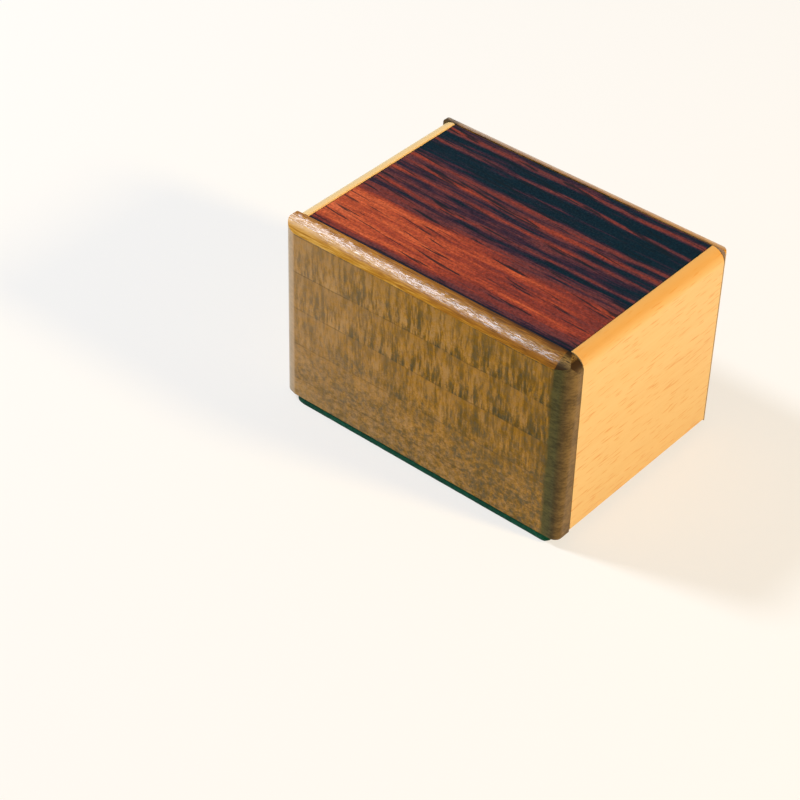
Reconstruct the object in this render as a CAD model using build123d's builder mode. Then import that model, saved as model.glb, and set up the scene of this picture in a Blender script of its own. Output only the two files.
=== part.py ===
from build123d import *
import os

os.makedirs("parts", exist_ok=True)

# A small puzzle box with sliding panels. The lid and the right end are one piece that slides out to
# the right, once the left end has been lifted off the hook that holds the lid shut.
# Millimetres. The origin is under the middle of the felt, +X runs along the length to the end that
# slides out, +Y runs to the back and +Z is up.

# The shell: a bay for the lid, with an end panel at each end and a long side panel front and back
bay_length = 39.6
bay_width = 27.9
wood_height = 26.0
lid_thickness = 3.0
end_thickness = 2.0
side_thickness = 2.5
bottom_thickness = 2.5
end_foot_gap = 0.3
slide_clearance = 0.1

# Worked edges of the shell, sanded by hand, so no two upright edges are alike. Each has a bevel, with a
# run along the panel and a depth across it, and a radius where the bevel meets the panel's end. The front
# right edge is left nearly square at its foot, and the back right one is bevelled almost through.
brow_radius = 3.6
front_brow_drop = 1.3
back_brow_drop = 1.9
front_left_corner_radius = 0.5
front_right_corner_radius = 2.0
back_corner_radius = 0.6
front_left_run = 1.9
front_left_bevel = 0.5
front_left_radius = 1.6
front_right_run = 2.5
front_right_bevel = 0.55
front_right_radius = 1.9
front_right_foot_bevel = 0.05
front_right_foot_radius = 1.0
back_left_run = 1.2
back_left_bevel = 0.15
back_left_radius = 0.8
back_right_run = 2.1
back_right_flat = 0.15
back_right_radius = 0.2
end_round_share = 0.9
arris = 0.12

# The felt under the shell stops short of the moving ends' outer faces
felt_thickness = 1.0
felt_end_margin = 1.35
felt_side_margin = 0.05
felt_corner_radius = 1.2

# The core: an open inner box that carries the shell
floor_thickness = 1.5
wall_thickness = 2.0

# Runners under the lid, with tongues that slide in grooves of the core's long walls
runner_thickness = 2.0
runner_height = 3.5
runner_gap = 0.2
tongue_length = 8.0
tongue_height = 1.2
tongue_reach = 0.8
tongue_offset = 0.8
lid_stop_length = 3.5

# The left end rises on a dovetail between two guides
left_rise = 6.0
guide_thickness = 1.6
guide_stop_height = 2.0
dovetail_neck = 6.0
dovetail_head = 8.4
dovetail_clearance = 0.2

# The left end's catch and the lid's hook: the lip hangs just below the tip of the barb
catch_width = 5.0
catch_arm_thickness = 1.5
catch_lip_thickness = 1.5
catch_lip_depth = 1.8
catch_engagement = 0.5
catch_slack = 0.6
catch_headroom_slack = 0.5
hook_width = 6.0
hook_gap = 0.4
hook_barb_thickness = 1.2
hook_foot_thickness = 1.2
hook_stem_thickness = 1.8

# Levels, from the table up
base_z = felt_thickness
top_z = base_z + wood_height
bottom_top_z = base_z + bottom_thickness
floor_top_z = bottom_top_z + floor_thickness
lid_under_z = top_z - lid_thickness
wall_top_z = lid_under_z - slide_clearance
runner_low_z = lid_under_z - runner_height
right_wall_top_z = runner_low_z - slide_clearance
tongue_low_z = runner_low_z + tongue_offset

# Faces along the length, from left to right
half_bay = bay_length / 2
lid_left_x = slide_clearance - half_bay
core_left_x = guide_thickness + slide_clearance - half_bay
core_left_inner_x = core_left_x + wall_thickness
core_right_x = half_bay - slide_clearance
core_right_inner_x = core_right_x - wall_thickness
core_length = core_right_x - core_left_x
half_side = half_bay + end_thickness

# Faces across the width, from the middle to the front
half_width = bay_width / 2
panel_width = bay_width - 2 * slide_clearance
front_y = -half_width - side_thickness
core_inner_y = half_width - wall_thickness
runner_outer_y = core_inner_y - slide_clearance
runner_inner_y = runner_outer_y - runner_thickness

# The lid slides until its tongues meet the stops
runner_left_x = core_left_inner_x + runner_gap
lid_stop_x = core_right_x - lid_stop_length
lid_travel = lid_stop_x - slide_clearance - runner_left_x - tongue_length
groove_low_z = tongue_low_z - slide_clearance
groove_height = tongue_height + 2 * slide_clearance
groove_depth = tongue_reach + slide_clearance

# Hook and catch: the lip clears the barb as the left end rises and the lid moves off
catch_play = catch_engagement * lid_travel / left_rise + catch_slack
barb_left_x = core_left_inner_x + hook_gap
barb_right_x = barb_left_x + hook_barb_thickness
lip_left_x = barb_right_x + catch_play
lip_right_x = lip_left_x + catch_lip_thickness
stem_left_x = lip_right_x + hook_gap
stem_right_x = stem_left_x + hook_stem_thickness
catch_headroom = left_rise * (lip_right_x - lid_left_x) / lid_travel + catch_headroom_slack
arm_top_z = lid_under_z - catch_headroom
arm_low_z = arm_top_z - catch_arm_thickness
lip_low_z = arm_low_z - catch_lip_depth
barb_top_z = lip_low_z + catch_engagement
foot_top_z = lip_low_z - hook_gap
foot_low_z = foot_top_z - hook_foot_thickness

# The dovetail starts where its stop will meet it at the top of the rise
dovetail_low_z = bottom_top_z + guide_stop_height + left_rise + slide_clearance
dovetail_top_z = arm_low_z - slide_clearance
guide_inner_neck_y = dovetail_neck / 2 + dovetail_clearance
guide_inner_head_y = dovetail_head / 2 + dovetail_clearance


def side_panel(left_corner_radius, right_corner_radius, brow_drop, left_edge, right_edge, right_foot):
    """The long panel at the front. An edge is given as its bevel's run and depth, and its radius."""
    left_run, left_bevel, left_radius = left_edge
    with BuildPart() as panel:
        for level, (right_run, right_bevel, right_radius) in ((base_z, right_foot), (top_z, right_edge)):
            with BuildSketch(Plane.XY.offset(level)) as plan:
                with BuildLine():
                    Polyline(
                        (-half_side, -half_width),
                        (-half_side, front_y + left_bevel),
                        (left_run - half_side, front_y),
                        (half_side - right_run, front_y),
                        (half_side, front_y + right_bevel),
                        (half_side, -half_width),
                        close=True,
                    )
                make_face()
                fillet(plan.vertices().group_by(Axis.X)[0].sort_by(Axis.Y)[0], left_radius)
                fillet(plan.vertices().group_by(Axis.X)[-1].sort_by(Axis.Y)[0], right_radius)
        loft()
        with BuildSketch(Plane.XZ.offset(half_width)) as outline:
            with Locations((0, base_z)):
                Rectangle(2 * half_side, wood_height, align=(Align.CENTER, Align.MIN))
            fillet(outline.vertices().group_by(Axis.X)[0].sort_by(Axis.Y)[-1], left_corner_radius)
            fillet(outline.vertices().group_by(Axis.X)[-1].sort_by(Axis.Y)[-1], right_corner_radius)
        extrude(amount=side_thickness, mode=Mode.INTERSECT)
        with BuildSketch(Plane.YZ):
            with BuildLine():
                brow = RadiusArc((front_y, top_z - brow_drop), (-half_width, top_z), brow_radius)
                Polyline(brow @ 1, (-half_width, base_z), (front_y, base_z), brow @ 0)
            make_face()
        extrude(amount=half_side, both=True, mode=Mode.INTERSECT)
    return panel.part


# Shell
with BuildPart() as front_panel:
    add(
        side_panel(
            front_left_corner_radius,
            front_right_corner_radius,
            front_brow_drop,
            left_edge=(front_left_run, front_left_bevel, front_left_radius),
            right_edge=(front_right_run, front_right_bevel, front_right_radius),
            right_foot=(front_right_run, front_right_foot_bevel, front_right_foot_radius),
        )
    )

back_right_edge = (back_right_run, side_thickness - back_right_flat, back_right_radius)
with BuildPart() as back_panel:
    mirror(
        side_panel(
            back_corner_radius,
            back_corner_radius,
            back_brow_drop,
            left_edge=(back_left_run, back_left_bevel, back_left_radius),
            right_edge=back_right_edge,
            right_foot=back_right_edge,
        ),
        about=Plane.XZ,
    )

with BuildPart() as right_end_panel:
    with BuildSketch(Plane.XZ) as end_section:
        with Locations((half_bay, base_z + end_foot_gap)):
            Rectangle(end_thickness, wood_height - end_foot_gap, align=(Align.MIN, Align.MIN))
        outer_corner = end_section.vertices().group_by(Axis.X)[-1].sort_by(Axis.Y)[-1]
        fillet(outer_corner, end_round_share * end_thickness)
        inner_corner = end_section.vertices().group_by(Axis.X)[0].sort_by(Axis.Y)[-1]
        chamfer(inner_corner, arris)
    extrude(amount=panel_width / 2, both=True)

with BuildPart() as left_end_panel:
    mirror(right_end_panel.part, about=Plane.YZ)

with BuildPart() as lid_panel:
    with BuildSketch(Plane.XY.offset(lid_under_z)):
        with Locations((lid_left_x, 0)):
            Rectangle(half_bay - lid_left_x, panel_width, align=(Align.MIN, Align.CENTER))
    extrude(amount=lid_thickness)
    chamfer(lid_panel.faces().sort_by(Axis.Z)[-1].edges(), arris)

with BuildPart() as bottom_panel:
    with BuildSketch(Plane.XY.offset(base_z)):
        Rectangle(bay_length - 2 * slide_clearance, bay_width)
    extrude(amount=bottom_thickness)

with BuildPart() as felt_pad:
    with BuildSketch():
        RectangleRounded(
            2 * (half_side - felt_end_margin),
            -2 * (front_y + felt_side_margin),
            felt_corner_radius,
        )
    extrude(amount=felt_thickness)

# Core
with BuildPart() as core_floor:
    with BuildSketch(Plane.XY.offset(bottom_top_z)):
        with Locations((core_left_x, 0)):
            Rectangle(core_length, bay_width, align=(Align.MIN, Align.CENTER))
    extrude(amount=floor_thickness)

with BuildPart() as core_front_wall:
    with BuildSketch(Plane.YZ.offset(core_left_x)):
        with Locations((-half_width, floor_top_z)):
            Rectangle(wall_thickness, wall_top_z - floor_top_z, align=(Align.MIN, Align.MIN))
        with Locations((-core_inner_y, groove_low_z)):
            Rectangle(groove_depth, groove_height, align=(Align.MAX, Align.MIN), mode=Mode.SUBTRACT)
    extrude(amount=core_length)

with BuildPart() as core_back_wall:
    mirror(core_front_wall.part, about=Plane.XZ)

with BuildPart() as core_left_wall:
    with BuildSketch(Plane.YZ.offset(core_left_x)):
        with Locations((0, floor_top_z)):
            Rectangle(2 * core_inner_y, wall_top_z - floor_top_z, align=(Align.CENTER, Align.MIN))
        with Locations((0, wall_top_z)):
            Rectangle(
                catch_width + 2 * slide_clearance,
                wall_top_z - dovetail_top_z,
                align=(Align.CENTER, Align.MAX),
                mode=Mode.SUBTRACT,
            )
    extrude(amount=wall_thickness)

with BuildPart() as core_right_wall:
    with BuildSketch(Plane.YZ.offset(core_right_inner_x)):
        with Locations((0, floor_top_z)):
            Rectangle(2 * core_inner_y, right_wall_top_z - floor_top_z, align=(Align.CENTER, Align.MIN))
    extrude(amount=wall_thickness)

with BuildPart() as lid_stop_front:
    with BuildSketch(Plane.YZ.offset(lid_stop_x)):
        with Locations((-core_inner_y, groove_low_z)):
            Rectangle(groove_depth, groove_height, align=(Align.MAX, Align.MIN))
    extrude(amount=lid_stop_length)

with BuildPart() as lid_stop_back:
    mirror(lid_stop_front.part, about=Plane.XZ)

# Lid runners, cleat and hook
with BuildPart() as lid_runner_front:
    with BuildSketch(Plane.YZ.offset(runner_left_x)):
        with Locations((-runner_outer_y, runner_low_z)):
            Rectangle(runner_thickness, runner_height, align=(Align.MIN, Align.MIN))
    extrude(amount=half_bay - runner_left_x)
    with BuildSketch(Plane.YZ.offset(runner_left_x)):
        with Locations((-runner_outer_y, tongue_low_z)):
            Rectangle(tongue_reach, tongue_height, align=(Align.MAX, Align.MIN))
    extrude(amount=tongue_length)

with BuildPart() as lid_runner_back:
    mirror(lid_runner_front.part, about=Plane.XZ)

with BuildPart() as lid_cleat:
    with BuildSketch(Plane.XZ):
        with BuildLine():
            Polyline(
                (half_bay, lid_under_z),
                (half_bay - runner_height, lid_under_z),
                (half_bay, runner_low_z),
                close=True,
            )
        make_face()
    extrude(amount=runner_inner_y, both=True)

with BuildPart() as lid_hook:
    with BuildSketch(Plane.XZ):
        with BuildLine():
            Polyline(
                (stem_left_x, lid_under_z),
                (stem_left_x, foot_top_z),
                (barb_right_x, foot_top_z),
                (barb_right_x, barb_top_z),
                (barb_left_x, barb_top_z),
                (barb_left_x, foot_low_z),
                (stem_right_x, foot_low_z),
                (stem_right_x, lid_under_z),
                close=True,
            )
        make_face()
    extrude(amount=hook_width / 2, both=True)

# Left end's slide and catch
with BuildPart() as left_runner:
    with BuildSketch(Plane.XY.offset(dovetail_low_z)):
        with BuildLine():
            Polyline(
                (core_left_x, dovetail_neck / 2),
                (core_left_x - guide_thickness, dovetail_head / 2),
                (core_left_x - guide_thickness, -dovetail_head / 2),
                (core_left_x, -dovetail_neck / 2),
                close=True,
            )
        make_face()
    extrude(amount=dovetail_top_z - dovetail_low_z)

with BuildPart() as left_guide_front:
    with BuildSketch(Plane.XY.offset(bottom_top_z)):
        with BuildLine():
            Polyline(
                (-half_bay, -core_inner_y),
                (guide_thickness - half_bay, -core_inner_y),
                (guide_thickness - half_bay, -guide_inner_neck_y),
                (-half_bay, -guide_inner_head_y),
                close=True,
            )
        make_face()
    extrude(amount=arm_top_z - bottom_top_z)

with BuildPart() as left_guide_back:
    mirror(left_guide_front.part, about=Plane.XZ)

with BuildPart() as left_guide_stop:
    with BuildSketch(Plane.XY.offset(bottom_top_z)):
        with Locations((-half_bay, 0)):
            Rectangle(guide_thickness, dovetail_neck, align=(Align.MIN, Align.CENTER))
    extrude(amount=guide_stop_height)

with BuildPart() as left_catch:
    with BuildSketch(Plane.XZ):
        with BuildLine():
            Polyline(
                (-half_bay, arm_low_z),
                (-half_bay, arm_top_z),
                (lip_right_x, arm_top_z),
                (lip_right_x, lip_low_z),
                (lip_left_x, lip_low_z),
                (lip_left_x, arm_low_z),
                close=True,
            )
        make_face()
    extrude(amount=catch_width / 2, both=True)

pieces = {
    "lid_panel": lid_panel,
    "right_end_panel": right_end_panel,
    "left_end_panel": left_end_panel,
    "front_panel": front_panel,
    "back_panel": back_panel,
    "bottom_panel": bottom_panel,
    "felt_pad": felt_pad,
    "core_floor": core_floor,
    "core_front_wall": core_front_wall,
    "core_back_wall": core_back_wall,
    "core_left_wall": core_left_wall,
    "core_right_wall": core_right_wall,
    "lid_stop_front": lid_stop_front,
    "lid_stop_back": lid_stop_back,
    "lid_runner_front": lid_runner_front,
    "lid_runner_back": lid_runner_back,
    "lid_cleat": lid_cleat,
    "lid_hook": lid_hook,
    "left_runner": left_runner,
    "left_guide_front": left_guide_front,
    "left_guide_back": left_guide_back,
    "left_guide_stop": left_guide_stop,
    "left_catch": left_catch,
}
for name, piece in pieces.items():
    piece.part.label = name
    export_step(piece.part, f"parts/{name}.step")

print(f"lid slides {lid_travel:.2f} mm while the left end rises {left_rise:.2f} mm")
print(f"catch has {catch_play:.2f} mm of play and {catch_headroom:.2f} mm of headroom")
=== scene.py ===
# %% [markdown]
# # A small puzzle box in four woods
# The box stands on a green felt pad. Its lid is striped rosewood, its two ends are beech and its two
# long sides are figured walnut. The measured model arrives as a fixed frame of named nodes, so this
# lesson gives every node its finish, makes the felt as a piece of its own, and lights the box as in a
# small studio. Everything is in metres, in the frame of the measured model.

# %% Load the measured model
import math

import bpy
from mathutils import Matrix, Vector


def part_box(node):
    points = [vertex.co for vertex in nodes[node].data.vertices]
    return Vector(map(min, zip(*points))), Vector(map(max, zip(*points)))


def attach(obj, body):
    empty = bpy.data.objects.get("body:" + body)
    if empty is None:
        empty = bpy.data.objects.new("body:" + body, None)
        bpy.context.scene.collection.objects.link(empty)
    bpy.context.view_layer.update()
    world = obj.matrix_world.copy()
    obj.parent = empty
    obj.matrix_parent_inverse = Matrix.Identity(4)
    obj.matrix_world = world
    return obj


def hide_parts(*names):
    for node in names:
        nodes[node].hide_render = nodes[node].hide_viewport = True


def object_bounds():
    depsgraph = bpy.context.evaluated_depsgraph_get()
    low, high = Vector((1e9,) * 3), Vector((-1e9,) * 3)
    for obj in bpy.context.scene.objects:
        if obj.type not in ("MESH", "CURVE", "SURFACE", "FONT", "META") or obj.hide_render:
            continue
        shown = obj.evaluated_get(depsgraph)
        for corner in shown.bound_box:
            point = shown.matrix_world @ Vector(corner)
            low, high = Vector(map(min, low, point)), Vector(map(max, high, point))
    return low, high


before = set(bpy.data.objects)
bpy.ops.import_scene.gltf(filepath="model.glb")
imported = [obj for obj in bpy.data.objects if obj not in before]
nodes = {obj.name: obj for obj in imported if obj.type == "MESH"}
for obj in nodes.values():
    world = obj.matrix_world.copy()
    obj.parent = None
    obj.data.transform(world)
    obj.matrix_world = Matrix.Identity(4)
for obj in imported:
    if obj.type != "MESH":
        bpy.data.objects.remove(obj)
cad_low, cad_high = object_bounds()
MM = 0.001
print("nodes", len(nodes), "box in mm", [round(side / MM, 2) for side in cad_high - cad_low])

# %% [markdown]
# ## Tools for the finishes
# A finish is a small graph of shader nodes. Five helpers keep each one readable. One turns an sRGB hex
# value into the linear colour that a shader wants, one adds a node with its settings and links, and one
# starts a material whose surface position is counted in millimetres, so that the length and width of a
# grain can be written as real sizes. The last two make a noise of a given grain and add several up.

# %% Colours and nodes
def colour(hex_value):
    """The linear colour, with full alpha, of an sRGB hex value such as 'a0b0c0'."""
    shares = [int(hex_value[place:place + 2], 16) / 255 for place in (0, 2, 4)]
    linear = [share / 12.92 if share <= 0.04045 else ((share + 0.055) / 1.055) ** 2.4 for share in shares]
    return (*linear, 1.0)


def add(tree, kind, inputs, stops=None, **settings):
    """Add a shader node. Inputs are values, sockets or nodes, by name or place; stops fill a ramp."""
    made = tree.nodes.new("ShaderNode" + kind)
    for name, value in settings.items():
        setattr(made, name, value)
    for place, value in inputs.items():
        named = [socket for socket in made.inputs if socket.enabled and socket.name == place]
        socket = named[0] if named else made.inputs[place]
        if isinstance(value, bpy.types.Node):
            value = next(output for output in value.outputs if output.enabled)
        if isinstance(value, bpy.types.NodeSocket):
            tree.links.new(value, socket)
        else:
            socket.default_value = value
    if stops:
        ramp = made.color_ramp.elements
        while len(ramp) < len(stops):
            ramp.new(1.0)
        for element, (place, paint) in zip(ramp, stops):
            element.position = place
            element.color = colour(paint) if isinstance(paint, str) else (paint, paint, paint, 1.0)
    return made


print("white is", colour("ffffff"))

# %% Materials and noises
def start_finish(name, roughness, ior=1.5):
    """A new material: the material, its tree, its shader, the position in millimetres and the normal."""
    material = bpy.data.materials.new(name)
    material.use_nodes = True
    tree = material.node_tree
    shader = tree.nodes["Principled BSDF"]
    shader.inputs["Roughness"].default_value = roughness
    shader.inputs["IOR"].default_value = ior
    surface = add(tree, "TexCoord", {})
    in_mm = add(tree, "VectorMath", {0: surface.outputs["Object"], "Scale": 1 / MM}, operation="SCALE")
    return material, tree, shader, in_mm, surface.outputs["Normal"]


def fibres(tree, position, size_mm, detail=2.0, roughness=0.5, warp=0.0):
    """A noise whose lumps are about size_mm long along X, Y and Z."""
    per_lump = [1 / side for side in size_mm]
    stretched = add(tree, "VectorMath", {0: position, 1: per_lump}, operation="MULTIPLY")
    return add(tree, "TexNoise", {"Vector": stretched, "Scale": 1.0, "Detail": detail,
                                  "Roughness": roughness, "Distortion": warp})


def sum_tones(tree, start, weighted):
    """A tone that starts at a value or node and moves by each noise's weight around the noise's middle."""
    tone = start
    for noise, weight in weighted:
        tone = add(tree, "Math", {0: noise, 1: weight, 2: tone}, operation="MULTIPLY_ADD")
    middle_of_all = sum(weight for _, weight in weighted) / 2
    return add(tree, "Math", {0: tone, 1: middle_of_all}, operation="SUBTRACT")


print("helpers for the finishes are ready")

# %% [markdown]
# ## Rosewood for the lid
# The lid is a thin board of striped rosewood. Its year rings meet the face nearly upright, so they show as
# lines along the board: orange-red in front, then purple-brown, and nearly black behind with a few thin red
# lines. A wave texture would give stripes of even width. Here a ramp from the front edge to the back edge
# holds the tone of each stripe, as a veneer cutter would describe the board, and noises long along X break
# the stripes up.

# %% The tone of the stripes
STRIPES = (  # millimetres from the front edge, and a tone from 0, nearly black, to 1, orange-red
    (0.0, 0.52), (0.8, 0.64), (1.5, 0.80), (3.0, 0.90), (6.0, 0.85), (8.4, 0.83), (9.1, 0.60), (10.2, 0.52),
    (11.2, 0.28), (12.1, 0.56), (12.7, 0.40), (14.4, 0.38), (14.9, 0.64), (15.5, 0.34), (16.3, 0.34),
    (17.0, 0.68), (17.7, 0.42), (18.1, 0.40), (18.9, 0.62), (19.5, 0.30), (20.6, 0.22), (22.8, 0.14),
    (23.3, 0.22), (23.6, 0.50), (24.0, 0.50), (24.4, 0.16), (25.8, 0.18), (26.2, 0.52), (26.7, 0.52),
    (27.2, 0.26), (27.9, 0.30))
RED_AT_LEFT, RED_AT_RIGHT = 0.04, -0.36       # change of tone at the two ends of the red part
RED_SHARES = ((0.0, 0.3), (0.06, 1.0), (0.5, 0.25))  # how much of it, by share of the width from the front


def stripe_tone(tree, place, low, high):
    """The tone of the stripes, from 0 to 1, and the short fibres, which also give the relief."""
    board_width = high.y - low.y

    # The rings wander by about half a millimetre over the length of the board.
    wander = fibres(tree, place, (22, 7, 7), detail=2.0)
    wander_mm = sum_tones(tree, 0.0, ((wander, 2.0),))
    sideways = add(tree, "CombineXYZ", {"Y": wander_mm})
    ring = add(tree, "VectorMath", {0: place, 1: sideways}, operation="ADD")
    across = add(tree, "SeparateXYZ", {0: ring})
    from_front = add(tree, "MapRange", {"Value": across.outputs["Y"], "From Min": low.y,
                                        "From Max": high.y})
    striped = add(tree, "ValToRGB", {"Fac": from_front},
                  stops=[(distance / board_width, tone) for distance, tone in STRIPES])

    # The red part of the board is darker towards its right end, and each stripe fades in and out.
    apart = add(tree, "SeparateXYZ", {0: place})
    darker = add(tree, "MapRange", {"Value": apart.outputs["X"], "From Min": low.x, "From Max": high.x,
                                    "To Min": RED_AT_LEFT, "To Max": RED_AT_RIGHT})
    red_share = add(tree, "ValToRGB", {"Fac": from_front}, stops=RED_SHARES)
    tone = add(tree, "Math", {0: darker, 1: red_share, 2: striped}, operation="MULTIPLY_ADD")
    fading = fibres(tree, ring, (12, 1.3, 3), detail=3.0)
    narrow = fibres(tree, ring, (24, 0.34, 3), detail=2.0, roughness=0.6)
    short = fibres(tree, place, (3.4, 0.18, 0.6), detail=2.0, roughness=0.6)
    return sum_tones(tree, tone, ((fading, 0.75), (narrow, 0.45), (short, 0.40))), short


print("stripe tones", len(STRIPES), "up to", STRIPES[-1][0], "mm from the front edge")

# %% Striped rosewood, planed and lacquered to a satin gloss
VESSEL_SLANT = math.radians(5)
VESSEL_MM = (6.0, 0.40, 0.4)                  # drawn wider than real so that they show at this distance
PORE_SHEEN_SHARE = 0.025                            # strength of the fine pores, which are partly a painted flicker of sheen
GRAIN_DEPTH = 0.02 * MM                       # relief of the pores in planed and sanded wood
SEAM_SHADE_WIDTH, SEAM_SHADE_DEPTH = 0.30, 0.4            # mm of painted shade in the seam, on the top and down the side


def striped_rosewood():
    """Deep red and blue-black stripes under a thin satin lacquer: dark, clear and softly glossy."""
    material, tree, shader, place, _ = start_finish("striped_rosewood", roughness=0.36, ior=1.36)
    shader.inputs["Specular Tint"].default_value = colour("40ccff")
    low, high = (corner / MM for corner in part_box("lid_panel"))
    tone, short = stripe_tone(tree, place, low, high)
    wood = add(tree, "ValToRGB", {"Fac": tone}, stops=(
        (0.04, "001820"), (0.18, "041c24"), (0.30, "301a26"), (0.45, "60302c"), (0.60, "7a3020"),
        (0.74, "983e22"), (0.90, "ba542a"), (1.00, "c66038")))
    speckle = fibres(tree, place, (0.32, 0.26, 0.24), detail=2.0, roughness=0.7)
    grain = add(tree, "MapRange", {"Value": speckle, "From Min": 0.3, "From Max": 0.7,
                                   "To Min": 0.6, "To Max": 1.4})
    wood = add(tree, "VectorMath", {0: wood, "Scale": grain}, operation="SCALE")
    # The fine pores are mixed in as grey, partly a painted flicker of sheen.
    pores = fibres(tree, place, (0.24, 0.2, 0.2), detail=2.0, roughness=0.7)
    wood = add(tree, "Mix", {"Factor": PORE_SHEEN_SHARE, "A": wood, "B": pores}, data_type="RGBA",
               blend_type="LINEAR_LIGHT", clamp_result=True)

    # Vessels: dark dashes a few millimetres long, which lie at a slight slant to the stripes.
    slant = add(tree, "VectorRotate", {"Vector": place, "Angle": VESSEL_SLANT}, rotation_type="Z_AXIS")
    vessels = fibres(tree, slant, VESSEL_MM, detail=1.0, roughness=0.4, warp=0.3)
    dash = add(tree, "MapRange", {"Value": vessels, "From Min": 0.61, "From Max": 0.68, "To Max": 0.85})
    dark = add(tree, "Mix", {"Factor": dash, "A": wood, "B": colour("0c1416")}, data_type="RGBA")

    # A thin dark line along the seam at the front is painted shade of the gap beside the walnut.
    apart = add(tree, "SeparateXYZ", {0: place})
    on_top = add(tree, "MapRange", {"Value": apart.outputs["Z"], "From Min": high.z - SEAM_SHADE_DEPTH,
                                    "From Max": high.z, "To Max": 0.9})
    seam_shade = add(tree, "MapRange", {"Value": apart.outputs["Y"], "From Min": low.y + SEAM_SHADE_WIDTH / 2,
                                  "From Max": low.y + SEAM_SHADE_WIDTH, "To Min": on_top, "To Max": 0.0})
    seam_shaded = add(tree, "Mix", {"Factor": seam_shade, "A": dark, "B": colour("0a0808")}, data_type="RGBA")
    tree.links.new(seam_shaded.outputs[2], shader.inputs["Base Color"])

    relief = add(tree, "Math", {0: dash, 1: -0.5, 2: short}, operation="MULTIPLY_ADD")
    bump = add(tree, "Bump", {"Height": relief, "Strength": 0.3, "Distance": GRAIN_DEPTH})
    tree.links.new(bump.outputs[0], shader.inputs["Normal"])
    return material


rosewood = striped_rosewood()
print("finish", rosewood.name)

# %% [markdown]
# ## Walnut for the long sides
# The two long sides are figured walnut: golden brown boards, grain along X. Thin dark lines a few
# millimetres apart are the year rings. Between them stand upright streaks, where the fibres wave in and out
# of the face, and towards the foot the streaks break up into blotches. The rounded top edge cuts the fibres
# at a slant and shines, and a painted highlight runs along its crest. The bevelled upright edges, nearly
# end grain, are darker, with painted shade making the right one dark and painted light making the left one
# pale. The finish tells the top edge by the surface normal, and the upright edges by their X.

# %% The walnut's figure
STREAKS_FROM, BLOTCHES_BELOW = 14.0, 6.0      # heights in mm where the figure changes
NEXT_BARS = 7.0                               # how far the noise of the bars jumps at each ring


def walnut_figure(tree, place, apart, ring, ring_share):
    """The figure of the face, from 0 to 1, the bars in it, and how far up the face it is."""
    # The fibres wave in and out of the face in bundles. Above, they show as upright streaks, as bars that
    # end at each ring, and as fine threads. Below, they are blotches.
    ring_number = add(tree, "Math", {0: ring}, operation="FLOOR")
    level = add(tree, "Math", {0: ring_number, 1: NEXT_BARS, 2: ring_share}, operation="MULTIPLY_ADD")
    barred = add(tree, "CombineXYZ", {"X": apart.outputs["X"], "Y": apart.outputs["Y"], "Z": level})
    bars = fibres(tree, barred, (0.55, 3.0, 0.8), detail=1.0)
    streaks = fibres(tree, place, (0.5, 3.0, 2.2), detail=3.0, roughness=0.65)
    threads = fibres(tree, place, (0.24, 3.0, 1.2), detail=1.0)
    upright = sum_tones(tree, streaks, ((bars, 0.7), (threads, 0.5)))
    blotches = fibres(tree, place, (0.6, 3.0, 0.5), detail=4.0, roughness=0.65, warp=0.2)
    upper = add(tree, "MapRange", {"Value": apart.outputs["Z"], "From Min": BLOTCHES_BELOW,
                                   "From Max": STREAKS_FROM})
    figure = add(tree, "Mix", {"Factor": upper, "A": blotches, "B": upright}, data_type="FLOAT")
    return add(tree, "MapRange", {"Value": figure, "From Min": 0.34, "From Max": 0.66}), bars, upper


print("streaks above", STREAKS_FROM, "mm, blotches below", BLOTCHES_BELOW, "mm")

# %% The walnut's face
RING_SPACING, FIRST_RING = 5.43, 3.9          # mm between year rings, and the height of the lowest
RING_WIDTH, RING_SOFTNESS = 0.03, 0.10        # mm, drawn a little wider than real so that they show
LEFT_BAND, RIGHT_BAND = -19.9, 19.4           # mm from the middle, where the upright edges begin
TONE_AT_LEFT, TONE_AT_RIGHT = 0.62, 0.38      # the face is paler towards the left
MUTED_AT_LEFT, PAINTED_BOUNCE_AT_FOOT = 0.34, 0.11     # how far its colours are softened there, at the foot as painted bounce light
SPOT_SHARE = 0.035                            # strength of the small warm and cool spots


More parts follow.
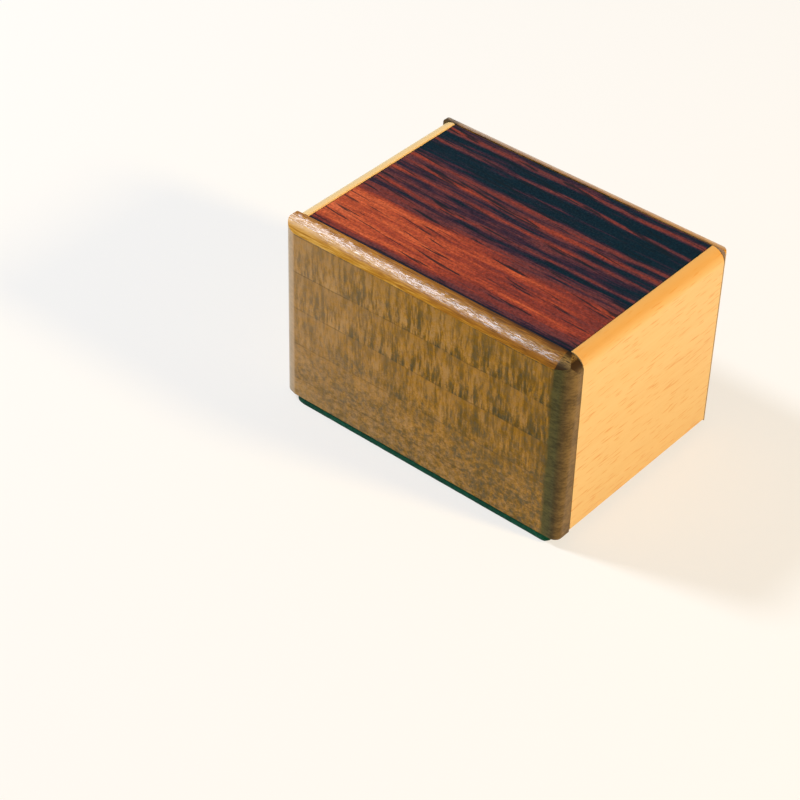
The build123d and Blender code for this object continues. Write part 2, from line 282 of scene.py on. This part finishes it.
def walnut_face(tree, place, apart, along):
    """The flat face: year rings, upright streaks above and blotches below, paler towards the left."""
    wander = fibres(tree, place, (14, 9, 9), detail=2.0)
    height = sum_tones(tree, apart.outputs["Z"], ((wander, 0.5),))
    from_first = add(tree, "Math", {0: height, 1: FIRST_RING}, operation="SUBTRACT")
    ring = add(tree, "Math", {0: from_first, 1: RING_SPACING}, operation="DIVIDE")
    ring_share = add(tree, "Math", {0: ring}, operation="FRACT")
    figure, bars, upper = walnut_figure(tree, place, apart, ring, ring_share)
    clouds = fibres(tree, place, (4.5, 14, 3.2), detail=2.0)
    hatching = fibres(tree, place, (0.3, 0.4, 0.18), detail=2.0, roughness=0.6)
    paler = add(tree, "MapRange", {"Value": along, "From Min": LEFT_BAND, "From Max": RIGHT_BAND,
                                   "To Min": TONE_AT_LEFT, "To Max": TONE_AT_RIGHT})
    tone = sum_tones(tree, paler, ((figure, 0.6), (clouds, 0.8), (hatching, 0.6), (ring_share, 0.05)))
    wood = add(tree, "ValToRGB", {"Fac": tone}, stops=(
        (0.05, "52430f"), (0.34, "785a1c"), (0.62, "ac7a2b"), (0.95, "cc984e")))

    # Under each ring the streaks turn amber. The colours soften towards the left, and towards the foot,
    # where the softening is painted bounce light from the table. Small spots lean to orange or to grey.
    amber = add(tree, "Math", {0: ring_share, 1: upper}, operation="MULTIPLY")
    amber = add(tree, "Math", {0: amber, 1: bars}, operation="MULTIPLY")
    warmer = add(tree, "Mix", {"Factor": amber, "A": wood, "B": colour("ae7a26")}, data_type="RGBA")
    muted = add(tree, "MapRange", {"Value": upper, "To Min": PAINTED_BOUNCE_AT_FOOT, "To Max": 0.0})
    muted = add(tree, "MapRange", {"Value": along, "From Min": LEFT_BAND, "From Max": 0.0,
                                   "To Min": MUTED_AT_LEFT, "To Max": muted})
    softer = add(tree, "Mix", {"Factor": muted, "A": warmer, "B": colour("c09c74")}, data_type="RGBA")
    spots = fibres(tree, place, (0.5, 3, 0.7), detail=3.0, roughness=0.65)
    hue = add(tree, "ValToRGB", {"Fac": spots}, stops=((0.36, "59bce1"), (0.64, "f3bc89")))
    spotted = add(tree, "Mix", {"Factor": SPOT_SHARE, "A": softer, "B": hue}, data_type="RGBA",
                  blend_type="LINEAR_LIGHT")

    to_ring = add(tree, "Math", {0: from_first, 1: RING_SPACING / 2}, operation="PINGPONG")
    faint = add(tree, "MapRange", {"Value": clouds, "From Min": 0.35, "From Max": 0.6,
                                   "To Min": 0.05, "To Max": 0.4})
    line = add(tree, "MapRange", {"Value": to_ring, "From Min": RING_WIDTH,
                                  "From Max": RING_WIDTH + RING_SOFTNESS, "To Min": faint, "To Max": 0.0})
    return add(tree, "Mix", {"Factor": line, "A": spotted, "B": colour("3e2e0c")}, data_type="RGBA")


print("year rings every", RING_SPACING, "mm from", FIRST_RING, "mm up")

# %% The walnut's upright edges
def walnut_upright(tree, place, along, half_length):
    """The bevelled upright edges: darker end grain, with painted shade making the right one dark olive and
    painted light making the left one tan, and brown beside the end.
    """
    along_share = add(tree, "MapRange", {"Value": along, "From Min": -half_length, "From Max": half_length})
    left_share, right_share = ((half_length + band) / (2 * half_length) for band in (LEFT_BAND, RIGHT_BAND))
    end_grain_with_painted_light = add(tree, "ValToRGB", {"Fac": along_share}, stops=(
        (0.02, "c3a987"), (left_share, "d0a87b"), (right_share, "6a6230"), (0.968, "625c30"),
        (0.985, "6a5634"), (1.00, "7e643a")))
    strokes = fibres(tree, place, (0.7, 0.7, 0.3), detail=3.0, roughness=0.7)
    patches = fibres(tree, place, (4, 4, 1.8), detail=1.0)
    mottled = sum_tones(tree, strokes, ((patches, 0.5),))
    shade = add(tree, "ValToRGB", {"Fac": mottled}, stops=((0.34, 0.45), (0.66, 1.0)))
    stronger = add(tree, "MapRange", {"Value": along_share, "To Min": 0.3, "To Max": 1.0})
    return add(tree, "Mix", {"Factor": stronger, "A": end_grain_with_painted_light, "B": shade}, data_type="RGBA",
               blend_type="MULTIPLY")


print("upright edges from", LEFT_BAND, "and", RIGHT_BAND, "mm")

# %% The walnut's rounded top edge
BROW_AT_LEFT, BROW_AT_RIGHT = -0.25, 0.22     # the rounded top edge, or brow, is browner towards the right
STREAK_DARKEST, BROW_DARKEST = 1.2, 1.5       # the darkest tone of its streaks, and of its right corner
BROW_TONES = ((0.30, "dca850"), (0.55, "c28828"), (0.80, "a2681c"), (1.00, "8e5a1a"), (1.20, "643c12"),
              (BROW_DARKEST, "362410"))
PAINTED_GLINT_BAND = ((0.78, 0.0), (0.87, 0.4), (0.93, 0.4), (0.98, 0.0))  # how strong the painted highlight is, by how far the edge faces up


def walnut_brow(tree, fine, glint_flecks, upward, along, at_right, turned):
    """The rounded top edge: golden where it rises from the face, browner by the lid and to the right, with
    a painted highlight along its crest and painted shade in the seam at the front.
    """
    browner = add(tree, "MapRange", {"Value": along, "From Min": LEFT_BAND, "From Max": RIGHT_BAND,
                                     "To Min": BROW_AT_LEFT, "To Max": BROW_AT_RIGHT})
    towards_lid = add(tree, "Math", {0: upward, 1: browner}, operation="ADD")
    streaked = sum_tones(tree, towards_lid, ((fine, 1.4),))
    streaked = add(tree, "Math", {0: streaked, 1: STREAK_DARKEST}, operation="MINIMUM")
    corner = add(tree, "Math", {0: at_right, 1: BROW_DARKEST}, operation="MULTIPLY")
    tone = add(tree, "Math", {0: streaked, 1: corner}, operation="MAXIMUM")
    tone = add(tree, "MapRange", {"Value": tone, "From Max": BROW_DARKEST})
    wood = add(tree, "ValToRGB", {"Fac": tone},
               stops=[(place / BROW_DARKEST, paint) for place, paint in BROW_TONES])

    # Along its crest a pale band is painted where the lamp's glint falls: a painted highlight, broken into
    # flecks by the cut fibre ends.
    crest = add(tree, "ValToRGB", {"Fac": upward}, stops=PAINTED_GLINT_BAND)
    painted_glint = add(tree, "Math", {0: crest, 1: glint_flecks}, operation="MULTIPLY")
    wood = add(tree, "Mix", {"Factor": painted_glint, "A": wood, "B": colour("d8a858")}, data_type="RGBA")

    # Painted shade darkens the seam beside the lid of the front board, most of it towards the right.
    seam_shade_to_right = add(tree, "MapRange", {"Value": along, "From Min": LEFT_BAND / 2, "From Max": RIGHT_BAND,
                                   "To Max": 0.85})
    beside_lid = add(tree, "MapRange", {"Value": upward, "From Min": 0.98, "From Max": 0.995})
    seam_shade = add(tree, "Math", {0: seam_shade_to_right, 1: beside_lid}, operation="MULTIPLY")
    seam_shade = add(tree, "Math", {0: seam_shade, 1: turned}, operation="MULTIPLY", use_clamp=True)
    return add(tree, "Mix", {"Factor": seam_shade, "A": wood, "B": colour("2a1c0e")}, data_type="RGBA")


print("tones of the top edge", len(BROW_TONES))

# %% The shine on the walnut's top edge
BROW_END, BROW_FADE = 18.4, 1.4               # mm from the middle, where the shine ends, and how softly
CREST_FROM, CREST_TO = 0.76, 0.88             # how far the surface faces up where the coat thickens
FIBRE_END = (0.55, 0.07, 0.07)                # mm, drawn a little coarser than real so that they show
COAT_SHARE, TILT = 0.60, 0.21                 # how thick the coat is, and how unlike the tilts are
LEAN_ALONG = -0.09                            # slope of the cut fibre ends along X
LEAN_LEFT, LEAN_RIGHT = -0.22, 0.04           # and across the edge, at its left and right


def shine_on_brow(tree, shader, fibre_ends, upward, along):
    """A thicker coat on the crest of the top edge, which the cut fibre ends break into short glints."""
    golden = add(tree, "MapRange", {"Value": along, "From Min": BROW_END, "From Max": BROW_END + BROW_FADE,
                                    "To Min": 1.0, "To Max": 0.0})
    crest = add(tree, "MapRange", {"Value": upward, "From Min": CREST_FROM, "From Max": CREST_TO},
                interpolation_type="SMOOTHSTEP")
    coat = add(tree, "Math", {0: golden, 1: crest}, operation="MULTIPLY")
    coat = add(tree, "Math", {0: coat, 1: COAT_SHARE}, operation="MULTIPLY")
    tree.links.new(coat.outputs[0], shader.inputs["Coat Weight"])

    # The fibre ends lean to the left, each with a tilt of its own.
    across = add(tree, "MapRange", {"Value": along, "From Min": LEFT_BAND, "From Max": RIGHT_BAND,
                                    "To Min": LEAN_LEFT, "To Max": LEAN_RIGHT})
    lean = add(tree, "CombineXYZ", {"X": LEAN_ALONG, "Y": across})
    tilt = add(tree, "VectorMath", {0: fibre_ends, 1: (0.5, 0.5, 0.5)}, operation="SUBTRACT")
    tilt = add(tree, "VectorMath", {0: tilt, 1: (TILT, TILT, TILT), 2: lean}, operation="MULTIPLY_ADD")
    outward = add(tree, "NewGeometry", {})
    leaning = add(tree, "VectorMath", {0: outward.outputs["Normal"], 1: tilt}, operation="ADD")
    leaning = add(tree, "VectorMath", {0: leaning}, operation="NORMALIZE")
    tree.links.new(leaning.outputs[0], shader.inputs["Coat Normal"])


print("fibre ends of", FIBRE_END, "mm")

# %% Figured walnut, sanded and lacquered
EDGE_FROM, EDGE_TO = 0.02, 0.6                # how far the surface faces up where the top edge begins
BAND_SOFTNESS = 0.25                          # mm over which the upright edges begin


def figured_walnut():
    """Mottled golden brown: satin on the face, with a thicker, brighter coat on the rounded top edge."""
    material, tree, shader, place, normal = start_finish("figured_walnut", roughness=0.3, ior=1.25)
    shader.inputs["Specular Tint"].default_value = colour("ffecc4")
    shader.inputs["Coat Roughness"].default_value = 0.26
    shader.inputs["Coat IOR"].default_value = 1.4
    half_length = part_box("front_panel")[1].x / MM
    apart = add(tree, "SeparateXYZ", {0: place})
    facing = add(tree, "SeparateXYZ", {0: normal})
    fine = fibres(tree, place, (2.4, 0.13, 0.13), detail=2.0, roughness=0.6)

    # The back board was sawn from the same plank and turned end for end, so its X counts backwards and the
    # painted light of the pale upright edge falls at its right end.
    turned = add(tree, "Math", {0: apart.outputs["Y"]}, operation="SIGN")
    turned = add(tree, "Math", {0: turned, 1: -1.0}, operation="MULTIPLY")
    along = add(tree, "Math", {0: apart.outputs["X"], 1: turned}, operation="MULTIPLY")

    face = walnut_face(tree, place, apart, along)
    upright = walnut_upright(tree, place, along, half_length)
    at_left = add(tree, "MapRange", {"Value": along, "From Min": LEFT_BAND - BAND_SOFTNESS,
                                     "From Max": LEFT_BAND + BAND_SOFTNESS, "To Min": 1.0, "To Max": 0.0})
    at_right = add(tree, "MapRange", {"Value": along, "From Min": RIGHT_BAND - BAND_SOFTNESS,
                                      "From Max": RIGHT_BAND + BAND_SOFTNESS})
    per_fibre = [1 / side for side in FIBRE_END]
    stretched = add(tree, "VectorMath", {0: place, 1: per_fibre}, operation="MULTIPLY")
    fibre_ends = add(tree, "TexVoronoi", {"Vector": stretched, "Scale": 1.0}).outputs["Color"]
    # The random share of each fibre end sets how much painted highlight it gets on the crest.
    pale = add(tree, "SeparateXYZ", {0: fibre_ends})
    brow = walnut_brow(tree, fine, pale.outputs["X"], facing.outputs["Z"], along, at_right, turned)
    at_ends = add(tree, "Math", {0: at_left, 1: at_right}, operation="ADD")
    ended = add(tree, "Mix", {"Factor": at_ends, "A": face, "B": upright}, data_type="RGBA")
    upward = add(tree, "MapRange", {"Value": facing.outputs["Z"], "From Min": EDGE_FROM,
                                    "From Max": EDGE_TO}, interpolation_type="SMOOTHSTEP")
    edged = add(tree, "Mix", {"Factor": upward, "A": ended, "B": brow}, data_type="RGBA")
    tree.links.new(edged.outputs[2], shader.inputs["Base Color"])
    shine_on_brow(tree, shader, fibre_ends, facing.outputs["Z"], along)
    pores = add(tree, "Bump", {"Height": fine, "Strength": 0.25, "Distance": GRAIN_DEPTH})
    tree.links.new(pores.outputs[0], shader.inputs["Normal"])
    return material


walnut = figured_walnut()
print("finish", walnut.name)

# %% [markdown]
# ## Beech for the two ends
# The ends are thin beech boards, grain along Y. Beech is pale and even, and what gives it away is the ray
# fleck: thin darker dashes, a millimetre or two long, all lying along the grain. They come from one noise,
# stretched along Y, of which only the highest tips are kept.

# %% Steamed beech, sanded and lacquered
FLECK_MM = (0.4, 2.0, 0.15)                   # drawn a little wider than real so that they show


def flecked_beech():
    """Warm pale wood with small darker flecks and a satin lacquer, more orange on the right top edge."""
    material, tree, shader, place, normal = start_finish("flecked_beech", roughness=0.42, ior=1.45)
    broad = fibres(tree, place, (3, 30, 3), detail=2.0)
    lines = fibres(tree, place, (0.5, 20, 0.5), detail=2.0)
    tone = sum_tones(tree, 0.5, ((broad, 0.5), (lines, 0.5)))
    wood = add(tree, "ValToRGB", {"Fac": tone}, stops=((0.2, "d9b070"), (0.5, "dcb87a"), (0.8, "dfbd82")))
    flecks = fibres(tree, place, FLECK_MM, detail=0.0)
    dash = add(tree, "MapRange", {"Value": flecks, "From Min": 0.65, "From Max": 0.79, "To Max": 0.75})
    flecked = add(tree, "Mix", {"Factor": dash, "A": wood, "B": colour("d08838")}, data_type="RGBA")

    # The top edges have a tone of their own, and the left one is paler than the right one.
    facing = add(tree, "SeparateXYZ", {0: normal})
    upward = add(tree, "MapRange", {"Value": facing.outputs["Z"], "From Min": 0.1, "From Max": 0.8,
                                    "To Max": 0.8})
    apart = add(tree, "SeparateXYZ", {0: place})
    at_left = add(tree, "Math", {0: apart.outputs["X"], 1: 0.0}, operation="LESS_THAN")
    edge = add(tree, "Mix", {"Factor": at_left, "A": colour("e0a24c"), "B": colour("f6cc86")},
               data_type="RGBA")
    edged = add(tree, "Mix", {"Factor": upward, "A": flecked, "B": edge}, data_type="RGBA")
    tree.links.new(edged.outputs[2], shader.inputs["Base Color"])
    bump = add(tree, "Bump", {"Height": lines, "Strength": 0.2, "Distance": GRAIN_DEPTH})
    tree.links.new(bump.outputs[0], shader.inputs["Normal"])
    return material


beech = flecked_beech()
print("finish", beech.name)

# %% [markdown]
# ## Plain woods for the inside
# The inner box is pale lime wood, sanded and left bare, and the strips that slide on each other are waxed
# cherry, which is harder and wears well. They show only when the box opens. One function makes both,
# because they differ only in colours, gloss and the direction of the grain.

# %% Lime wood and cherry
def plain_wood(name, grain_mm, dark, middle, pale, roughness):
    """A quiet straight-grained wood: soft bands and fine fibres in close tones."""
    material, tree, shader, place, _ = start_finish(name, roughness)
    bands = fibres(tree, place, grain_mm, detail=3.0)
    fine = fibres(tree, place, [side / 6 for side in grain_mm], detail=1.0)
    tone = add(tree, "Math", {0: fine, 1: 0.4, 2: bands}, operation="MULTIPLY_ADD")
    wood = add(tree, "ValToRGB", {"Fac": tone}, stops=((0.45, dark), (0.7, middle), (0.95, pale)))
    tree.links.new(wood.outputs[0], shader.inputs["Base Color"])
    bump = add(tree, "Bump", {"Height": fine, "Strength": 0.2, "Distance": GRAIN_DEPTH})
    tree.links.new(bump.outputs[0], shader.inputs["Normal"])
    return material


LIME_COLOURS = ("c9ad7e", "dcc497", "e6d2ab")
CHERRY_COLOURS = ("a26a3c", "ba8250", "c99462")
lime_lengthwise = plain_wood("lime_wood_lengthwise", (25, 1.2, 1.2), *LIME_COLOURS, roughness=0.62)
lime_crosswise = plain_wood("lime_wood_crosswise", (1.2, 25, 1.2), *LIME_COLOURS, roughness=0.62)
cherry_lengthwise = plain_wood("cherry_lengthwise", (18, 0.8, 0.8), *CHERRY_COLOURS, roughness=0.42)
cherry_upright = plain_wood("cherry_upright", (0.8, 0.8, 18), *CHERRY_COLOURS, roughness=0.42)
print("finishes", lime_lengthwise.name, lime_crosswise.name, cherry_lengthwise.name, cherry_upright.name)

# %% [markdown]
# ## Give each piece its wood
# Each node of the measured model keeps its mesh and gets one material. The grain of a strip runs along
# the strip, as a maker would cut it.

# %% Woods by piece
WOODS = (
    (rosewood, ("lid_panel",)),
    (beech, ("right_end_panel", "left_end_panel")),
    (walnut, ("front_panel", "back_panel")),
    (lime_lengthwise, ("bottom_panel", "core_floor", "core_front_wall", "core_back_wall")),
    (lime_crosswise, ("core_left_wall", "core_right_wall", "lid_cleat")),
    (cherry_lengthwise, ("lid_runner_front", "lid_runner_back", "lid_stop_front", "lid_stop_back",
                         "lid_hook", "left_catch", "left_guide_stop")),
    (cherry_upright, ("left_runner", "left_guide_front", "left_guide_back")),
)
for wood, names in WOODS:
    for name in names:
        nodes[name].data.materials.clear()
        nodes[name].data.materials.append(wood)
print("woods given to", sum(len(names) for _, names in WOODS), "pieces")

# %% [markdown]
# ## The felt pad
# A piece of dense green felt is glued under the base, so that the box doesn't scratch the table. It could
# be a plain slab, but cut felt has soft rims and an uneven surface. So a cube is brought to the size of
# the pad, its corners and rims are rounded, a remesh divides it evenly, and a fine cloud pattern presses
# shallow dents into it. It was trimmed by hand: its left corners are rounder than its right ones.

# %% Model the felt
def deselect_all():
    """Leave nothing selected, so that the next operator acts only on what is picked for it."""
    bpy.ops.object.select_all(action="DESELECT")


def select_edges(mesh_object, wanted):
    """In edit mode, select only the edges whose two ends, in metres, satisfy wanted."""
    bpy.ops.mesh.select_all(action="DESELECT")
    bpy.ops.object.mode_set(mode="OBJECT")
    points = [vertex.co.copy() for vertex in mesh_object.data.vertices]
    for edge in mesh_object.data.edges:
        edge.select = wanted(*(points[index] for index in edge.vertices))
    bpy.ops.object.mode_set(mode="EDIT")


FELT_LEFT_CORNER = 2.0 * MM
FELT_RIGHT_CORNER = 0.9 * MM
FELT_RIM = 0.08 * MM
FELT_DENT = 0.02 * MM
FELT_DENT_WIDTH = 1.2 * MM
FELT_INSET = Vector((0.02, 0.02, 0.035)) * MM  # leaves room for the dents, which also bulge outwards
FELT_CORNER_STEPS, FELT_RIM_STEPS = 8, 3
felt_low, felt_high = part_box("felt_pad")
felt_size = felt_high - felt_low
deselect_all()
bpy.ops.mesh.primitive_cube_add(size=1.0)
felt = bpy.context.object
felt.name = "felt_sheet"
bpy.ops.object.mode_set(mode="EDIT")
bpy.ops.mesh.select_mode(type="EDGE")
bpy.ops.mesh.select_all(action="SELECT")
bpy.ops.transform.resize(value=felt_size - 2 * FELT_INSET)
bpy.ops.transform.translate(value=(felt_low + felt_high) / 2)
for side, corner in ((-1, FELT_LEFT_CORNER), (1, FELT_RIGHT_CORNER)):
    select_edges(felt, lambda one, other: one.x * side > 0 and abs(one.z - other.z) > felt_size.z / 2)
    bpy.ops.mesh.bevel(offset=corner, segments=FELT_CORNER_STEPS)
select_edges(felt, lambda one, other: abs(one.z - other.z) < FELT_DENT)
bpy.ops.mesh.bevel(offset=FELT_RIM, segments=FELT_RIM_STEPS)
bpy.ops.object.mode_set(mode="OBJECT")
print("felt", len(felt.data.polygons), "faces", [round(side / MM, 2) for side in felt.dimensions])

# %% Press dents into the felt
FELT_HALVINGS = 7                             # the remesh halves the pad's length this often
lumps = bpy.data.textures.new("felt_lumps", "CLOUDS")
lumps.noise_scale = FELT_DENT_WIDTH
even = felt.modifiers.new("even_faces", "REMESH")
even.mode = "SHARP"
even.octree_depth = FELT_HALVINGS
dents = felt.modifiers.new("dents", "DISPLACE")
dents.texture = lumps
dents.texture_coords = "LOCAL"
dents.strength = 2 * FELT_DENT
for name in ("even_faces", "dents"):
    bpy.ops.object.modifier_apply(modifier=name)
bpy.ops.object.shade_smooth()
print("felt", len(felt.data.polygons), "faces", [round(side / MM, 2) for side in felt.dimensions])

# %% Dense green felt
WOOL_DEPTH = 0.08 * MM                        # relief of the matted fibres


def pressed_felt():
    """Matted wool with no gloss: a dark green that pales a little where loose fibres catch the light."""
    material, tree, shader, place, _ = start_finish("pressed_felt", roughness=0.95, ior=1.2)
    matted = fibres(tree, place, (0.5, 0.5, 0.5), detail=4.0, roughness=0.7, warp=0.6)
    patches = fibres(tree, place, (5, 5, 5), detail=1.0)
    tone = add(tree, "Math", {0: patches, 1: 0.4, 2: matted}, operation="MULTIPLY_ADD")
    wool = add(tree, "ValToRGB", {"Fac": tone}, stops=(
        (0.45, "003a24"), (0.7, "004e32"), (0.95, "066244")))
    tree.links.new(wool.outputs[0], shader.inputs["Base Color"])
    shader.inputs["Sheen Weight"].default_value = 0.06
    shader.inputs["Sheen Roughness"].default_value = 0.6
    bump = add(tree, "Bump", {"Height": matted, "Strength": 0.7, "Distance": WOOL_DEPTH})
    tree.links.new(bump.outputs[0], shader.inputs["Normal"])
    return material


felt.data.materials.append(pressed_felt())
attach(felt, "core")
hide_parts("felt_pad")
print("felt laid under the base")

# %% [markdown]
# ## A pale table, two lamps and the camera
# The box stands on a white sheet. Two soft lamps light it: a cool one from the left and a warm one from
# the right, so it throws two faint shadows. The sheet is shown to the camera mostly by its own white, and
# a part of real light is left in it, which keeps those shadows. A white wall stands around the table, so
# the polished woods mirror white at a low angle, and a dim dome closes the room above it.

# %% The table
TABLE_SIDE = 8.0                              # metres
TABLE_WHITE_SHARE = 0.64                      # how much of the sheet shows as its own white
SHOWN_WHITE = colour("fffaf3")


def shown_rays(tree):
    """1 for the rays of the camera, of gloss and of glass, and 0 for the rays that only carry light."""
    ray = add(tree, "LightPath", {})
    shown = add(tree, "Math", {0: ray.outputs["Is Camera Ray"], 1: ray.outputs["Is Glossy Ray"]},
                operation="ADD")
    return add(tree, "Math", {0: shown, 1: ray.outputs["Is Transmission Ray"]}, operation="ADD",
               use_clamp=True)


deselect_all()
bpy.ops.mesh.primitive_plane_add(size=TABLE_SIDE, location=(0, 0, cad_low.z))
table = bpy.context.object
table.name = "table"
paper = bpy.data.materials.new("white_paper")
paper.use_nodes = True
tree = paper.node_tree
tree.nodes.clear()
matt = add(tree, "BsdfDiffuse", {"Color": colour("f4f1ea")})
white = add(tree, "Emission", {"Color": SHOWN_WHITE, "Strength": 1.0})
seen = add(tree, "Math", {0: shown_rays(tree), 1: TABLE_WHITE_SHARE}, operation="MULTIPLY")
shown = add(tree, "MixShader", {0: seen, 1: matt, 2: white})
add(tree, "OutputMaterial", {"Surface": shown})
table.data.materials.append(paper)
print("table", TABLE_SIDE, "m wide")

# %% The wall and the dome
DOME_STRENGTH = 0.25
HORIZON_FROM, HORIZON_TO = 0.05, 0.25         # sine of the elevation, where the white wall ends in the dome
sky = bpy.data.worlds.new("sky")
sky.use_nodes = True
tree = sky.node_tree
tree.nodes.clear()
towards_sky = add(tree, "TexCoord", {})
rise = add(tree, "SeparateXYZ", {0: towards_sky.outputs["Generated"]})
horizon = add(tree, "MapRange", {"Value": rise.outputs["Z"], "From Min": HORIZON_FROM,
                                 "From Max": HORIZON_TO, "To Min": 1.0, "To Max": 0.0})
seen = add(tree, "Math", {0: shown_rays(tree), 1: horizon}, operation="MULTIPLY")
dome = add(tree, "Background", {"Color": colour("dceaff"), "Strength": DOME_STRENGTH})
wall = add(tree, "Background", {"Color": SHOWN_WHITE, "Strength": 1.0})
shown = add(tree, "MixShader", {0: seen, 1: dome, 2: wall})
add(tree, "OutputWorld", {"Surface": shown})
bpy.context.scene.world = sky
print("dome at", DOME_STRENGTH, "of white")

# %% The lamps
LAMP_DISTANCE = 0.6                           # metres
FULL_LIGHT = math.pi ** 2 * LAMP_DISTANCE ** 2  # watts at which white paper that faces the lamp is white
LAMPS = (  # name, direction from the box, colour, share of full light, and width in metres
    ("left_lamp", (-0.654, -0.211, 0.727), "e2edff", 0.92, 0.10),
    ("right_lamp", (0.85, 0.18, 0.49), "ffdf9e", 0.95, 0.10),
)
middle = (cad_low + cad_high) / 2
for name, towards, hex_value, level, width in LAMPS:
    lamp = bpy.data.lights.new(name, type="AREA")
    lamp.shape = "DISK"
    lamp.size = width
    lamp.energy = level * FULL_LIGHT
    lamp.color = colour(hex_value)[:3]
    stand = bpy.data.objects.new(name, lamp)
    direction = Vector(towards).normalized()
    stand.location = middle + direction * LAMP_DISTANCE
    stand.rotation_euler = direction.to_track_quat("Z", "Y").to_euler()
    bpy.context.collection.objects.link(stand)
print("lamps", [name for name, *_ in LAMPS])

# %% The camera
AZIMUTH = math.radians(39.52)
ELEVATION = math.radians(39.04)
ROLL = math.radians(1.59)
AIM_RIGHT, AIM_UP, DISTANCE = -12.46 * MM, 0.66 * MM, 297.9 * MM
FOCAL_PIXELS, FRAME_PIXELS, SENSOR_MM = 2349, 800, 36
back = Vector((math.sin(AZIMUTH) * math.cos(ELEVATION), -math.cos(AZIMUTH) * math.cos(ELEVATION),
               math.sin(ELEVATION)))
level_right = Vector((math.cos(AZIMUTH), math.sin(AZIMUTH), 0))
level_up = back.cross(level_right)
right = math.cos(ROLL) * level_right + math.sin(ROLL) * level_up
up = math.cos(ROLL) * level_up - math.sin(ROLL) * level_right
eye = AIM_RIGHT * right + AIM_UP * up + DISTANCE * back
lens = bpy.data.cameras.new("camera")
lens.sensor_width = SENSOR_MM
lens.lens = FOCAL_PIXELS / FRAME_PIXELS * SENSOR_MM
lens.clip_start = 1 * MM
camera = bpy.data.objects.new("camera", lens)
camera.matrix_world = Matrix((right, up, back)).transposed().to_4x4()
camera.location = eye
bpy.context.collection.objects.link(camera)
bpy.context.scene.camera = camera
bpy.context.scene.view_settings.view_transform = "Standard"
print("camera at", [round(side / MM, 1) for side in eye], "mm, lens", round(lens.lens, 1), "mm")
